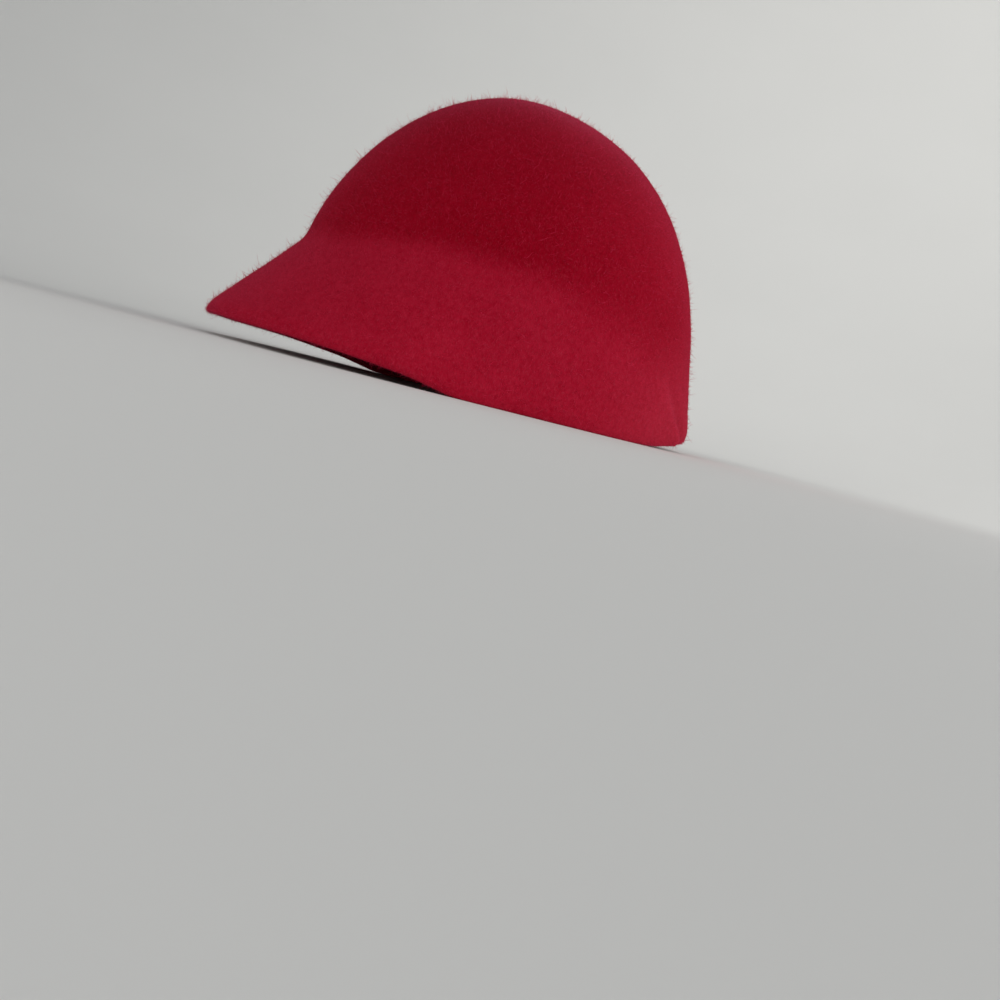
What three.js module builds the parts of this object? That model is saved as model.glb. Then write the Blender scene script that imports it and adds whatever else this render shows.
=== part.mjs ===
// A one-piece felt jockey cap with a ribbon sweatband, in millimetres.
//
// The wearer looks along -Y, the left ear is on +X and the crown points up, +Z.
// The cap stands on its own edge: the felt is pressed flat where both sides touch
// the ground plane, z = 0, while the peak's tip and the back stay a little above it.
// The origin is under the middle of the whole cap.
//
// Both pieces are lofts. An upright section through the crown's axis is drawn at
// each step around the head, as distance out from the axis and height up, and
// neighbouring sections are joined by triangles.

import * as THREE from 'three';
import { mergeVertices } from 'three/addons/utils/BufferGeometryUtils.js';

// Driving dimensions.
const cap = {
  halfWidth: 85.5, // of the head oval, felt included
  halfLength: 103,
  height: 149.5, // crown top above the ground plane
  crownForward: 8, // how far the crown's top sits ahead of the oval's middle
  creaseHeight: 56.5, // the line where the crown meets the peak and the sides
  creaseRoundness: 0.55, // handle of the soft crease's curve, as a share of its fillet
};

const felt = {
  wall: 2.3,
  hem: 4.4, // two layers: the edge is turned under and steamed flat
  hemDepth: 13, // how far the turned-under flap reaches up inside
  hemStep: 1.2, // over which the flap's own edge thins out to the single wall
  pressed: 0.7, // how far the round edge is pressed flat where it stands
};

const band = {
  width: 25,
  thickness: 1,
  gap: 0.6, // between the ribbon and the felt that it is sewn to
  easing: 9, // over which the ribbon settles from the hem down onto the wall
  tallest: 1.3, // limit to how much taller it stands where it climbs to the peak
};

// The crown's curve at the front, the sides and the back: the slope that it leaves the
// crease with, and how full it is low down and near the top, as a share of its height
// and of its radius.
const crownShape = {
  front: { slope: 80, lowFullness: 0.49, topFullness: 0.49 },
  side: { slope: 83, lowFullness: 0.55, topFullness: 0.54 },
  back: { slope: 74, lowFullness: 0.58, topFullness: 0.6 },
};

// One row per section, by angle from the front, in degrees; both sides are alike.
// reach: how far the edge stands out beyond the crease.
// edge: height of the edge above the ground plane.
// fillet: length of crown, and of peak or side, that the soft crease takes up.
// bandStart: from the edge to the ribbon's lower rim, measured along the felt.
const sections = [
  { angle: 0, reach: 38, edge: 10.5, fillet: 9, bandStart: 57 },
  { angle: 25, reach: 36, edge: 9.5, fillet: 9, bandStart: 46 },
  { angle: 45, reach: 33, edge: 8.5, fillet: 10, bandStart: 22 },
  { angle: 60, reach: 23, edge: 5.5, fillet: 13, bandStart: 6 },
  { angle: 75, reach: 8, edge: 0, fillet: 18, bandStart: 3 },
  { angle: 90, reach: 2.5, edge: 0, fillet: 25, bandStart: 3 },
  { angle: 120, reach: 4, edge: 0, fillet: 30, bandStart: 3 },
  { angle: 150, reach: 10, edge: 5, fillet: 28, bandStart: 3 },
  { angle: 180, reach: 10, edge: 8, fillet: 22, bandStart: 3 },
];

// How finely the lofts are divided.
const steps = { around: 64, crown: 12, fillet: 6, side: 4, hem: 2, edge: 6, band: 8 };
const sameSpot = 0.0001; // points closer than this are one

const mix = THREE.MathUtils.lerp;
const radians = THREE.MathUtils.degToRad;

// A smooth curve through one column of the table that never overshoots a row.
function column(name, angle) {
  const rows = sections;
  const last = rows.length - 1;
  const slopeBetween = (i) => (rows[i + 1][name] - rows[i][name]) / (rows[i + 1].angle - rows[i].angle);
  const slopeAt = (i) => {
    if (i === 0 || i === last) return 0;
    const before = slopeBetween(i - 1);
    const after = slopeBetween(i);
    return before * after <= 0 ? 0 : (2 * before * after) / (before + after);
  };
  const i = Math.min(rows.findLastIndex((row) => row.angle <= angle), last - 1);
  const span = rows[i + 1].angle - rows[i].angle;
  const t = (angle - rows[i].angle) / span;
  const rise = t * t * (3 - 2 * t);
  return mix(rows[i][name], rows[i + 1][name], rise)
    + span * slopeAt(i) * t * (1 - t) * (1 - t)
    - span * slopeAt(i + 1) * t * t * (1 - t);
}

// Distance from the crown's axis to the head oval, at an angle from the front.
function ovalRadius(angle) {
  const a = radians(angle);
  return Math.hypot(cap.halfWidth * Math.sin(a), cap.halfLength * Math.cos(a));
}

// The felt's outer side in one section: crown, soft crease, then peak or side.
function outerCurves(angle) {
  const ahead = Math.cos(radians(angle));
  const end = ahead > 0 ? crownShape.front : crownShape.back;
  const crown = (name) => mix(crownShape.side[name], end[name], ahead * ahead);
  const radius = ovalRadius(angle);
  const crownHeight = cap.height - cap.creaseHeight;
  const rise = crown('lowFullness') * crownHeight;
  const slope = radians(crown('slope'));
  const crease = new THREE.Vector2(radius, cap.creaseHeight);
  const crownCurve = new THREE.CubicBezierCurve(
    new THREE.Vector2(0, cap.height),
    new THREE.Vector2(crown('topFullness') * radius, cap.height),
    new THREE.Vector2(radius - rise * Math.cos(slope), cap.creaseHeight + rise * Math.sin(slope)),
    crease,
  );

  // The round edge has its lowest point at the height that the table gives.
  const half = felt.hem / 2;
  const lowest = column('edge', angle) - felt.pressed;
  const reach = column('reach', angle);
  const lean = Math.atan2(reach, cap.creaseHeight - lowest - half);
  const edge = new THREE.Vector2(radius + reach, lowest + half * (1 + Math.sin(lean)));
  const side = new THREE.LineCurve(crease, edge);

  const fillet = column('fillet', angle);
  const crownEnd = 1 - fillet / crownCurve.getLength();
  const sideStart = fillet / side.getLength();
  const from = crownCurve.getPointAt(crownEnd);
  const to = side.getPointAt(sideStart);
  const handleLength = cap.creaseRoundness * fillet;
  const creaseCurve = new THREE.CubicBezierCurve(
    from,
    crownCurve.getTangentAt(crownEnd).multiplyScalar(handleLength).add(from),
    side.getTangentAt(0).multiplyScalar(-handleLength).add(to),
    to,
  );
  return { crownCurve, crownEnd, creaseCurve, side, sideStart };
}

// Points down the felt's outer side, each with its normal and its distance to the edge.
function outerPoints(angle) {
  const { crownCurve, crownEnd, creaseCurve, side, sideStart } = outerCurves(angle);
  const found = [];
  const add = (curve, share) => {
    const tangent = curve.getTangentAt(share);
    found.push({ point: curve.getPointAt(share), normal: new THREE.Vector2(-tangent.y, tangent.x) });
  };
  for (let i = 0; i < steps.crown; i++) add(crownCurve, (crownEnd * i) / steps.crown);
  for (let i = 0; i < steps.fillet; i++) add(creaseCurve, i / steps.fillet);
  const sideLength = side.getLength();
  const hemTop = 1 - (felt.hemDepth + felt.hemStep) / sideLength;
  const hemStart = 1 - felt.hemDepth / sideLength;
  for (let i = 0; i <= steps.side; i++) add(side, mix(sideStart, hemTop, i / steps.side));
  for (let i = 0; i <= steps.hem; i++) add(side, mix(hemStart, 1, i / steps.hem));

  let distance = 0;
  for (let i = found.length - 1; i >= 0; i--) {
    if (i < found.length - 1) distance += found[i].point.distanceTo(found[i + 1].point);
    found[i].toEdge = distance;
  }
  return found;
}

const inward = ({ point, normal }, depth) => point.clone().addScaledVector(normal, -depth);

// The felt's closed outline in one section, from the crown's top outside, down around
// the edge, to the crown's top inside.
function feltOutline(angle) {
  const outer = outerPoints(angle);
  const hemmed = ({ toEdge }) => toEdge < felt.hemDepth + felt.hemStep / 2;
  const inner = outer.map((row) => inward(row, hemmed(row) ? felt.hem : felt.wall));
  inner[0].x = 0;

  const { point, normal } = outer.at(-1);
  const down = new THREE.Vector2(normal.y, -normal.x);
  const centre = point.clone().addScaledVector(normal, -felt.hem / 2);
  const edge = [];
  for (let i = 1; i < steps.edge; i++) {
    const turn = (Math.PI * i) / steps.edge;
    const rounded = centre.clone();
    rounded.addScaledVector(normal, (felt.hem / 2) * Math.cos(turn));
    rounded.addScaledVector(down, (felt.hem / 2) * Math.sin(turn));
    rounded.y = Math.max(rounded.y, 0);
    edge.push(rounded);
  }
  return [...outer.map((row) => row.point), ...edge, ...inner.reverse()];
}

// A point of the felt's outer side at a distance from the edge, measured along it.
function pointAbove(outer, distance) {
  const i = outer.findLastIndex((row) => row.toEdge >= distance);
  const upper = outer[i];
  const lower = outer[i + 1];
  const t = (upper.toEdge - distance) / (upper.toEdge - lower.toEdge);
  return {
    point: upper.point.clone().lerp(lower.point, t),
    normal: upper.normal.clone().lerp(lower.normal, t).normalize(),
  };
}

// How much taller the ribbon stands in a section where it climbs towards the peak.
function climbFactor(angle) {
  const reading = 3; // degrees to either side, over which the climb is read
  const low = Math.max(angle - reading, 0);
  const high = Math.min(angle + reading, 180);
  const rise = column('bandStart', high) - column('bandStart', low);
  const run = radians(high - low) * ovalRadius(angle);
  return Math.min(Math.hypot(1, rise / run), band.tallest);
}

// The ribbon's closed outline: up the side that faces the felt and down the other.
function bandOutline(angle) {
  const outer = outerPoints(angle);
  const start = column('bandStart', angle);
  const tall = band.width * climbFactor(angle);
  const backs = [];
  const faces = [];
  for (let i = 0; i <= steps.band; i++) {
    const distance = start + (tall * i) / steps.band;
    const row = pointAbove(outer, distance);
    const past = (distance - felt.hemDepth - felt.hemStep) / band.easing;
    const under = mix(felt.hem, felt.wall, THREE.MathUtils.smoothstep(past, 0, 1)) + band.gap;
    backs.push(inward(row, under));
    faces.push(inward(row, under + band.thickness));
  }
  return [...backs.reverse(), ...faces];
}

// Turns a section's outline into points in space. The crown leans forward, so each
// point above the crease is carried towards the front as it nears the axis.
function placed(outline, angle, side) {
  const a = radians(angle);
  const radius = ovalRadius(angle);
  const across = (side * cap.halfWidth * Math.sin(a)) / radius;
  const along = (-cap.halfLength * Math.cos(a)) / radius;
  return outline.map(({ x: out, y: up }) => {
    const forward = cap.crownForward * Math.max(1 - out / radius, 0);
    return new THREE.Vector3(across * out, along * out - forward, up);
  });
}

// Joins the sections around the head into one closed mesh. An outline that starts and
// ends on the axis closes there; any other closes on itself.
function loft(outlineOf, closesOnItself) {
  const points = [];
  for (let i = 0; i < steps.around; i++) {
    const turn = (360 * i) / steps.around;
    const angle = turn <= 180 ? turn : 360 - turn;
    points.push(placed(outlineOf(angle), angle, turn <= 180 ? 1 : -1));
  }
  const rows = points[0].length;
  const quads = closesOnItself ? rows : rows - 1;
  const index = [];
  for (let i = 0; i < steps.around; i++) {
    const next = (i + 1) % steps.around;
    for (let j = 0; j < quads; j++) {
      const below = (j + 1) % rows;
      const corners = [i * rows + j, next * rows + j, next * rows + below, i * rows + below];
      const onTop = !closesOnItself && j === 0;
      const onEnd = !closesOnItself && j === quads - 1;
      if (!onTop) index.push(corners[0], corners[2], corners[1]);
      if (!onEnd) index.push(corners[0], corners[3], corners[2]);
    }
  }
  const geometry = new THREE.BufferGeometry().setFromPoints(points.flat());
  geometry.setIndex(index);
  const merged = mergeVertices(geometry, sameSpot);
  merged.computeVertexNormals();
  return merged;
}

function feltBody() {
  const wool = new THREE.MeshStandardMaterial({ color: '#a81226', roughness: 0.95, metalness: 0 });
  const mesh = new THREE.Mesh(loft(feltOutline, false), wool);
  mesh.name = 'felt_body';
  return mesh;
}

function sweatband() {
  const ribbon = new THREE.MeshStandardMaterial({ color: '#8a1020', roughness: 0.7, metalness: 0 });
  const mesh = new THREE.Mesh(loft(bandOutline, true), ribbon);
  mesh.name = 'sweatband';
  return mesh;
}

const object = new THREE.Group();
object.add(feltBody(), sweatband());

// Brings the middle of the cap's length over the origin.
const bounds = new THREE.Box3().setFromObject(object);
object.position.y = -(bounds.min.y + bounds.max.y) / 2;

export default object;
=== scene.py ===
# %% [markdown]
# # A felt jockey cap
#
# The real cap starts as one cone of crimson wool felt. A milliner steams it over a wooden
# block until it has a round crown and a peak, turns the raw edge under and presses it flat,
# and sews a ribbed ribbon around the inside to take the wearer's sweat.
#
# This lesson rebuilds the cap in that order: the felt, the ribbon, the stitches that hold
# the ribbon, the loose wool fibres that stand off the felt, and then the finishes. The
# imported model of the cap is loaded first. It is the fixed frame: every piece below lies
# where that model says, in metres, with the peak towards -Y and the crown up.

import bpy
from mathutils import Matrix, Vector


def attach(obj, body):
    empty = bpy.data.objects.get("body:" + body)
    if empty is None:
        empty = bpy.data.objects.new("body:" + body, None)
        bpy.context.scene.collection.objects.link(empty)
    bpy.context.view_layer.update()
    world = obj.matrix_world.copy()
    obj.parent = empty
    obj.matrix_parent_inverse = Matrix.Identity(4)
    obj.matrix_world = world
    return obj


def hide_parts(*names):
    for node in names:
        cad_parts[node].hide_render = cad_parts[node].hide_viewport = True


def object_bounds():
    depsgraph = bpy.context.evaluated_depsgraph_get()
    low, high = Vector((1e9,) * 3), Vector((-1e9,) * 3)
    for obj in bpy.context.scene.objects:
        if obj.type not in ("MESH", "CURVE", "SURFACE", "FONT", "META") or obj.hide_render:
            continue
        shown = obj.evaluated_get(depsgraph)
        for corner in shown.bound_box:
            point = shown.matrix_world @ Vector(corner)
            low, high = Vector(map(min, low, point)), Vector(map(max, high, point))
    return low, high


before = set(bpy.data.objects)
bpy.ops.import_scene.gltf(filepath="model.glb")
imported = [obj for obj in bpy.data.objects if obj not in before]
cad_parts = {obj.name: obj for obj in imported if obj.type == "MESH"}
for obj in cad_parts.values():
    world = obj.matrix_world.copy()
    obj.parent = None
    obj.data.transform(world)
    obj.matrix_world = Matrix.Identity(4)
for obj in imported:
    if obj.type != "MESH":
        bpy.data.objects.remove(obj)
cad_low, cad_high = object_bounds()
print("packed model:", list(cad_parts), "from", cad_low[:], "to", cad_high[:])

# %% Python's and Blender's own modules
import math

import bpy
import numpy as np
from mathutils import Matrix, Vector, noise

MM = 0.001
print("Blender", bpy.app.version_string)

# %% [markdown]
# ## The camera
#
# The camera looks at the cap's left side, a little from the front, from half a metre away:
# near enough for the peak to look large. It is held slightly askew and aimed a little under
# the cap, so the cap stands high in the picture. It is kept just above the ground, at the
# height of the cap's own edge.
#
# A camera could be aimed with a Track To constraint. Here the three turns are worked out as
# matrices instead, because a constraint can't hold a camera askew and aim it off its target
# at the same time.

# %% Camera
CAMERA = {
    "turn": math.radians(73),  # from the front of the cap towards its left side
    "height": 8 * MM,
    "distance": 528 * MM,
    "askew": math.radians(14.6),
    "aim_below": math.radians(12.0),
    "aim_left": math.radians(0.3),
    "lens": 36,
    "sensor": 36,
}
HEAD_CENTRE_Y = 14.1 * MM  # the middle of the head oval, behind the middle of the cap
TARGET = Vector((0, HEAD_CENTRE_Y, 60 * MM))


def add_camera():
    rise = math.asin((CAMERA["height"] - TARGET.z) / CAMERA["distance"])
    turn = CAMERA["turn"]
    back = Vector((math.sin(turn) * math.cos(rise), -math.cos(turn) * math.cos(rise), math.sin(rise)))
    level = back.to_track_quat("Z", "Y").to_matrix()
    askew = Matrix.Rotation(CAMERA["askew"], 3, "Z")
    lower = Matrix.Rotation(-CAMERA["aim_below"], 3, "X")
    aside = Matrix.Rotation(CAMERA["aim_left"], 3, "Y")
    data = bpy.data.cameras.new("camera")
    data.lens = CAMERA["lens"]
    data.sensor_width = CAMERA["sensor"]
    data.clip_start = 1 * MM
    camera = bpy.data.objects.new("camera", data)
    bpy.context.scene.collection.objects.link(camera)
    place = TARGET + back * CAMERA["distance"]
    camera.matrix_world = Matrix.Translation(place) @ (level @ askew @ lower @ aside).to_4x4()
    bpy.context.scene.camera = camera
    return camera


camera = add_camera()
print("camera at", [round(v, 3) for v in camera.matrix_world.translation])

# %% [markdown]
# ## The shape that the block gives
#
# On the real cap the wooden block decides everything: an oval crown that leans forward, a
# soft crease around it, and below the crease the peak in front and low sides. A sculpted
# mesh could follow it by eye. A table of upright sections is better here, because nearly the
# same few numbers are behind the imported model, so the fine felt follows it closely. Only the
# crease over the peak is drawn crisper, by less than a millimetre.
#
# `column` reads the table at any angle from the front. It draws a smooth curve through one
# column, and the curve never overshoots a row.

# %% Sizes of the block and the felt
HALF_WIDTH = 85.5 * MM
HALF_LENGTH = 103 * MM
HEIGHT = cad_high.z
CROWN_FORWARD = 8 * MM
CREASE_HEIGHT = 56.5 * MM
CREASE_ROUNDNESS = 0.55

FELT_WALL = 2.3 * MM
HEM_THICKNESS = 4.4 * MM
HEM_DEPTH = 13 * MM
HEM_STEP = 1.2 * MM
PRESSED = 0.7 * MM

CROWN_SHAPE = {
    "front": {"slope": 80, "low_fullness": 0.49, "top_fullness": 0.49},
    "side": {"slope": 83, "low_fullness": 0.55, "top_fullness": 0.54},
    "back": {"slope": 74, "low_fullness": 0.58, "top_fullness": 0.6},
}

# Angle from the front in degrees, the rest in millimetres: how far the peak or side reaches
# out below the crease, how high its edge is, how long the rounding of the crease is, how far
# above the edge the ribbon starts, and up to which height the felt is lighter.
SECTIONS = [
    {"angle": 0, "reach": 38, "edge": 10.5, "fillet": 4.5, "band_start": 57, "paler_to": 57.5},
    {"angle": 25, "reach": 36, "edge": 9.5, "fillet": 5, "band_start": 46, "paler_to": 57.5},
    {"angle": 45, "reach": 33, "edge": 8.5, "fillet": 7, "band_start": 22, "paler_to": 59},
    {"angle": 60, "reach": 23, "edge": 5.5, "fillet": 11, "band_start": 6, "paler_to": 61},
    {"angle": 75, "reach": 8, "edge": 0, "fillet": 18, "band_start": 3, "paler_to": 60},
    {"angle": 90, "reach": 2.5, "edge": 0, "fillet": 25, "band_start": 3, "paler_to": 58.5},
    {"angle": 120, "reach": 4, "edge": 0, "fillet": 30, "band_start": 3, "paler_to": 44},
    {"angle": 150, "reach": 10, "edge": 5, "fillet": 28, "band_start": 3, "paler_to": 34},
    {"angle": 180, "reach": 10, "edge": 8, "fillet": 22, "band_start": 3, "paler_to": 32},
]


def column(name, angle):
    """One column of the table at an angle, on a smooth curve that never overshoots a row."""
    angles = np.array([row["angle"] for row in SECTIONS], float)
    values = np.array([row[name] for row in SECTIONS], float)
    steepness = np.diff(values) / np.diff(angles)
    before, after = steepness[:-1], steepness[1:]
    slopes = np.zeros(len(angles))
    same_way = before * after > 0
    total = np.where(same_way, before + after, 1)
    slopes[1:-1] = np.where(same_way, 2 * before * after / total, 0)
    i = int(np.clip(np.searchsorted(angles, angle, side="right") - 1, 0, len(angles) - 2))
    span = angles[i + 1] - angles[i]
    t = (angle - angles[i]) / span
    rise = t * t * (3 - 2 * t)
    start = span * slopes[i] * t * (1 - t) ** 2
    stop = span * slopes[i + 1] * t * t * (1 - t)
    return values[i] + (values[i + 1] - values[i]) * rise + start - stop


print("the peak reaches out", column("reach", 0), "mm, and at 35 degrees", round(column("reach", 35), 1))

# %% [markdown]
# One section is three curves end to end: the crown is a Bezier curve, the side or peak is a
# straight line, and a short Bezier curve rounds the crease between them. `Section` draws
# them closely and can then say, for any distance from the edge, where the felt's outer side
# is and which way it faces.


# %% Curves and lengths
CURVE_STEPS = 300
CROWN_STEPS = 400
SIDE_STEPS = 200
SHORT_STEP = 0.1 * MM  # over which the direction of a curve is read


def bezier(points):
    t = np.linspace(0, 1, CURVE_STEPS + 1)[:, None]
    a, b, c, d = (np.array(p, float) for p in points)
    return (1 - t) ** 3 * a + 3 * t * (1 - t) ** 2 * b + 3 * t * t * (1 - t) * c + t**3 * d


def lengths(path):
    return np.concatenate([[0], np.cumsum(np.linalg.norm(np.diff(path, axis=0), axis=1))])


def place_on(path, distance):
    along = lengths(path)
    return np.stack([np.interp(distance, along, path[:, k]) for k in range(path.shape[1])], -1)


def unit(vectors):
    return vectors / np.linalg.norm(vectors, axis=-1, keepdims=True)


print("every curve is drawn with", CURVE_STEPS, "steps")


# %% One section
class Section:
    """The felt's outer side at one turn around the head: distance out from the axis, and height."""

    def __init__(self, turn):
        self.turn = turn
        self.angle = turn if turn <= 180 else 360 - turn
        a = math.radians(turn)
        self.radius = math.hypot(HALF_WIDTH * math.sin(a), HALF_LENGTH * math.cos(a))
        self.across = HALF_WIDTH * math.sin(a) / self.radius
        self.along = -HALF_LENGTH * math.cos(a) / self.radius
        self.path = self.drawn()[::-1]
        self.reach = lengths(self.path)
        tangent = unit(np.gradient(self.path, self.reach, axis=0))
        self.normals = np.stack([tangent[:, 1], -tangent[:, 0]], -1)

    def drawn(self):
        """The outer side as one line, from the top of the crown down to the edge."""
        crown = self.crown_curve()
        fillet = column("fillet", self.angle) * MM
        joint = lengths(crown)[-1] - fillet
        before, start = place_on(crown, np.array([joint - SHORT_STEP, joint]))
        side_end = self.edge_point()
        down = unit(side_end - crown[-1])
        after = crown[-1] + fillet * down
        handle = CREASE_ROUNDNESS * fillet
        leaving = start + handle * unit(start - before)
        crease = bezier([start, leaving, after - handle * down, after])
        above = place_on(crown, np.linspace(0, joint, CROWN_STEPS))
        below = after + (side_end - after) * np.linspace(0, 1, SIDE_STEPS)[:, None]
        return np.concatenate([above, crease[1:], below[1:]])

    def crown_curve(self):
        ahead = math.cos(math.radians(self.angle))
        end = CROWN_SHAPE["front" if ahead > 0 else "back"]
        side = CROWN_SHAPE["side"]
        shape = {name: side[name] + (end[name] - side[name]) * ahead**2 for name in side}
        rise = shape["low_fullness"] * (HEIGHT - CREASE_HEIGHT)
        slope = math.radians(shape["slope"])
        leaving = (self.radius - rise * math.cos(slope), CREASE_HEIGHT + rise * math.sin(slope))
        top = (shape["top_fullness"] * self.radius, HEIGHT)
        return bezier([(0, HEIGHT), top, leaving, (self.radius, CREASE_HEIGHT)])

    def edge_point(self):
        half = HEM_THICKNESS / 2
        lowest = column("edge", self.angle) * MM - PRESSED
        reach = column("reach", self.angle) * MM
        lean = math.atan2(reach, CREASE_HEIGHT - lowest - half)
        return np.array([self.radius + reach, lowest + half * (1 + math.sin(lean))])

    def outside(self, to_edge):
        """The points of the outer side at these distances from the edge, and their normals."""
        spots = [np.interp(to_edge, self.reach, self.path[:, k]) for k in (0, 1)]
        facing = [np.interp(to_edge, self.reach, self.normals[:, k]) for k in (0, 1)]
        return np.stack(spots, -1), unit(np.stack(facing, -1))

    def in_space(self, flat):
        """Turns points of this section into points in space, with the crown leaning forward."""
        out, up = flat[:, 0], flat[:, 1]
        forward = CROWN_FORWARD * np.maximum(1 - out / self.radius, 0)
        return np.stack([self.across * out, self.along * out - forward + HEAD_CENTRE_Y, up], -1)

    def direction(self, flat):
        return np.stack([self.across * flat[:, 0], self.along * flat[:, 0], flat[:, 1]], -1)


for turn in (0, 90, 180):
    print(f"felt from edge to top at {turn} degrees: {Section(turn).reach[-1] / MM:.0f} mm")

# %% [markdown]
# ## Turned edge, dents and folds
#
# Felt is not as even as the block. The crown waves by a fraction of a millimetre, the turned
# edge leaves a faint line outside where its flap ends, and behind the left ear the side was
# squeezed once and kept a soft fold, with a valley beside it and a low bulge behind that. All
# three lean towards the front as they rise, and the valley and the bulge get painted shade.
#
# A displacement modifier could do this, but it would push the inner and the outer side
# apart. Instead one function, `relief`, says how far the felt stands out at a place, and
# both sides are moved together, so the wall keeps its thickness.


# %% Relief of the felt
WAVES = [  # size of the waves and how high they are
    {"size": 48 * MM, "height": 0.5 * MM},
    {"size": 17 * MM, "height": 0.16 * MM},
    {"size": 6 * MM, "height": 0.05 * MM},
]
HEM_LINE = {"at": 14 * MM, "width": 1.6 * MM, "depth": 0.14 * MM}
# Where each fold stands around the head, its half width and its lean, all in degrees; then
# its height, how far up it reaches, and how much painted shade darkens the felt there.
FOLDS = [
    {"turn": 142, "width": 3.2, "lean": -19, "height": 1.7 * MM, "reach": 38 * MM, "painted_shade": 0},
    {"turn": 147, "width": 3.0, "lean": -19, "height": -1.5 * MM, "reach": 42 * MM, "painted_shade": 0.5},
    {"turn": 156, "width": 7.0, "lean": -16, "height": 0.8 * MM, "reach": 50 * MM, "painted_shade": 0.5},
]


def eased(value):
    value = np.clip(value, 0, 1)
    return value * value * (3 - 2 * value)


def wavy(places, size):
    return np.array([noise.noise(Vector(p) / size) for p in places])


def folded(section, to_edge, what):
    """What the folds add up to: their "height", or how much painted shade darkens the felt there."""
    total = 0
    for fold in FOLDS:
        up = to_edge / fold["reach"]
        across = (section.turn - fold["turn"] - fold["lean"] * up) / fold["width"]
        total = total + fold[what] * np.exp(-(across**2)) * eased(1 - up)
    return total


def relief(section, to_edge, places):
    waves = sum(wave["height"] * wavy(places, wave["size"]) for wave in WAVES)
    return waves + folded(section, to_edge, "height")


print("fold behind the left ear:", FOLDS[0]["height"] / MM, "mm high")

# %% [markdown]
# ## The felt
#
# The mesh is a grid: one column of points for each turn around the head, going down the
# outer side, around the edge and up the inner side. A lathe or Screw modifier could spin one
# section, but here every section differs, so the columns are worked out one by one.
#
# The inner side is the outer side moved in by the felt's thickness. Near the edge there are
# two layers, and the inner one ends in a clear step, as a flap that was cut with shears. Rows
# are closer together there, so that the step is crisp.
#
# A Bevel could round the edge, but folded felt isn't evenly round: outside it starts to turn
# under a few millimetres above the edge, and inside it turns sharply. So the edge is two
# quarters of ellipses, and where it carries the cap it is flattened softly.


# %% Rows of the felt
def rows(*stretches):
    """Distances from stretches of (start, stop, count), in millimetres, without repeats."""
    parts = [np.linspace(start, stop, count, endpoint=False) for start, stop, count in stretches]
    return np.concatenate(parts) * MM


COLUMNS = 320
NEAR_EDGE = 20 * MM  # up to where the rows are at set distances; above, they share the rest
OUTER_ROWS = rows((0, 20, 20))
INNER_ROWS = rows((0, 11, 9), (11, 15.5, 17), (15.5, 20, 4))
OUTER_SHARES = np.linspace(0, 1, 96)
INNER_SHARES = np.linspace(0, 1, 72)
EDGE_TURNS = np.linspace(0, math.pi, 14)[1:-1]
print("rows near the edge:", len(OUTER_ROWS), len(EDGE_TURNS), len(INNER_ROWS), "out, around, in")

# %% The turned edge
FLAP_WANDER = 0.7 * MM  # how unevenly the flap's free edge was cut
FLAP_WAVES = 6  # how quickly it wanders on the way around
SHOULDER = 5.5 * MM  # how far above the edge the outer side starts to turn under
LOWEST = -1.0 * MM  # where the edge is lowest, inwards of the middle of the felt


def flap_end(turn):
    a = math.radians(turn)
    spot = Vector((FLAP_WAVES * math.cos(a), FLAP_WAVES * math.sin(a), 3))
    return HEM_DEPTH + FLAP_WANDER * noise.noise(spot)


def felt_depth(turn, to_edge):
    """How far under the outer side the inner side lies: two layers at the edge, then one."""
    past = (to_edge - flap_end(turn)) / HEM_STEP
    return HEM_THICKNESS + (FELT_WALL - HEM_THICKNESS) * eased(past)


def turned_under(down):
    """How far out from the felt's middle the outer side is, this far below the edge's start."""
    share = np.clip((SHOULDER + down) / (SHOULDER + HEM_THICKNESS / 2), 0, 1)
    return LOWEST + (HEM_THICKNESS / 2 - LOWEST) * np.sqrt(1 - share**2)


def edge_curve():
    """The rounded edge, from the outer side to the inner: distances out from the middle, and down."""
    half = HEM_THICKNESS / 2
    down = half * np.sin(EDGE_TURNS)
    inner = LOWEST + (half + LOWEST) * np.cos(EDGE_TURNS)
    return np.where(EDGE_TURNS < math.pi / 2, turned_under(down), inner), down


def rested(heights):
    """Heights near the ground, flattened softly where the edge carries the cap."""
    near = (np.maximum(heights, -PRESSED) + PRESSED) ** 2 / (4 * PRESSED)
    return np.where(heights < PRESSED, near, heights)


for turn in (0, 90, 180):
    print(f"at {turn} degrees the flap is {flap_end(turn) / MM:.1f} mm deep")

# %% [markdown]
# Below the crease, the peak and the side are a lighter red than the crown, which is deeper.
# The border is soft: sharp over the peak, and drawn out at the back. Painted light also makes
# the felt a little lighter on top and behind, and painted shade makes it darker in the folds.
# The function below gives each point a number for it, which the finish reads later. It could
# be a noise in the material, but it has to follow the crease.

# %% How light the felt is, with painted light and shade
PALER_BLUR = 6.5 * MM  # over which the lighter peak turns into the deeper crown
PALER_BLUR_BEHIND = 20 * MM  # the same at the back
BLUR_WIDENS = (60, 150)  # angles from the front between which the one turns into the other
PALER_WANDER = {"height": 3 * MM, "size": 25 * MM}
BACK_PAINTED_LIGHT_AND_WEAR = (-10 * MM, 70 * MM)  # how far back the painted light and the wear of the fibres start, and are full
PAINTED_LIGHT_TOP = (115 * MM, 140 * MM)  # the same upwards, for the painted light
PAINTED_LIGHT_SHARE = {"back": 0.3, "top": 0.25}  # how much painted light lightens the felt there


def between(value, low, high):
    """0 up to `low`, 1 from `high` on, and smooth in between."""
    return eased((value - low) / (high - low))


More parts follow.
